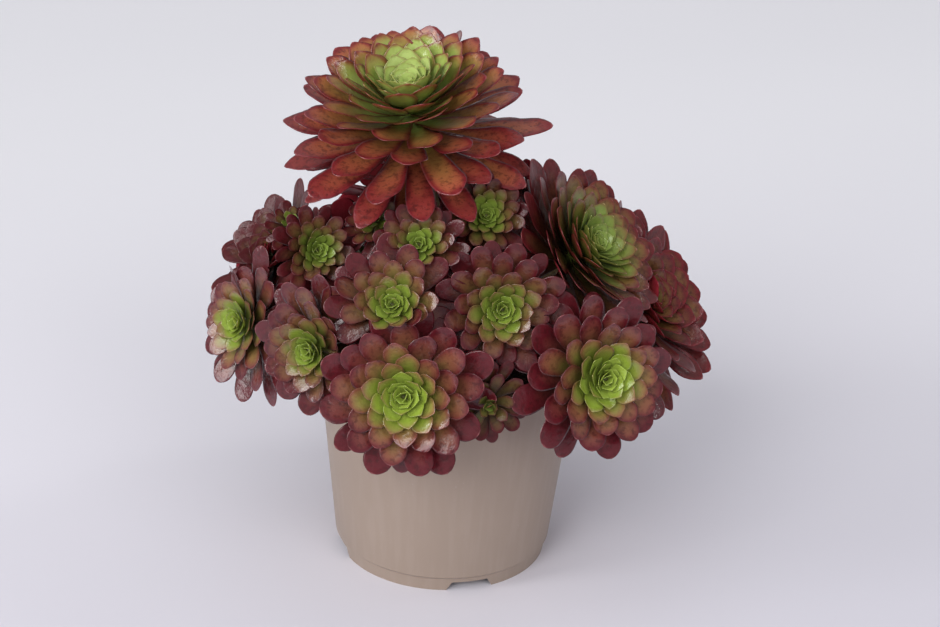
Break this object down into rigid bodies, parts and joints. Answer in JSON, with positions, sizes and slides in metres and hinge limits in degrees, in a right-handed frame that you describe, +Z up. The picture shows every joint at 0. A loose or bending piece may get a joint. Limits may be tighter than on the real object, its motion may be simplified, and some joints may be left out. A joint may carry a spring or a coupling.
{
  "type": "potted semponium",
  "caption": "Bushy potted succulent: wine-red, green-hearted leaf rosettes on a branching stem, with a large rosette on top, in a tapered taupe plastic pot.",
  "frame": {"origin": "on the surface the pot stands on, under the middle of the whole plant's box; the pot's own axis stands 9.5 mm to the left of it, since the leaves reach further to the right", "axes": "+Z up along the pot's axis; the plant's front, as pictured, faces -Y, with +X to its right"},
  "size_m": [0.4127, 0.3384, 0.424],
  "materials": {
    "pot": "satin taupe plastic",
    "soil": "loose dark potting soil",
    "stem": "dull olive-brown bark with leaf scars",
    "heart": "satin lime-green leaf",
    "leaves": "waxy wine-red leaf"
  },
  "bodies": {
    "root": {"pot": "pot", "soil": "soil", "stem": "stem", "top_rosette_heart": "heart", "top_rosette_leaves": "leaves", "front_rosette_heart": "heart", "front_rosette_leaves": "leaves", "front_right_rosette_heart": "heart", "front_right_rosette_leaves": "leaves", "middle_right_rosette_heart": "heart", "middle_right_rosette_leaves": "leaves", "right_upper_rosette_heart": "heart", "right_upper_rosette_leaves": "leaves", "right_rosette_heart": "heart", "right_rosette_leaves": "leaves", "middle_rosette_heart": "heart", "middle_rosette_leaves": "leaves", "front_left_rosette_heart": "heart", "front_left_rosette_leaves": "leaves", "left_rosette_heart": "heart", "left_rosette_leaves": "leaves", "upper_right_rosette_heart": "heart", "upper_right_rosette_leaves": "leaves", "centre_rosette_heart": "heart", "centre_rosette_leaves": "leaves", "left_upper_rosette_heart": "heart", "left_upper_rosette_leaves": "leaves", "upper_left_rosette_heart": "heart", "upper_left_rosette_leaves": "leaves", "rim_rosette_heart": "heart", "rim_rosette_leaves": "leaves", "left_bud_rosette_heart": "heart", "left_bud_rosette_leaves": "leaves", "left_back_rosette_heart": "heart", "left_back_rosette_leaves": "leaves", "right_back_rosette_heart": "heart", "right_back_rosette_leaves": "leaves", "back_left_rosette_heart": "heart", "back_left_rosette_leaves": "leaves", "back_rosette_heart": "heart", "back_rosette_leaves": "leaves", "back_right_rosette_heart": "heart", "back_right_rosette_leaves": "leaves", "back_left_upper_rosette_heart": "heart", "back_left_upper_rosette_leaves": "leaves", "back_right_upper_rosette_heart": "heart", "back_right_upper_rosette_leaves": "leaves", "left_low_rosette_heart": "heart", "left_low_rosette_leaves": "leaves", "right_low_rosette_heart": "heart", "right_low_rosette_leaves": "leaves", "back_crown_rosette_heart": "heart", "back_crown_rosette_leaves": "leaves"}
  },
  "joints": []
}
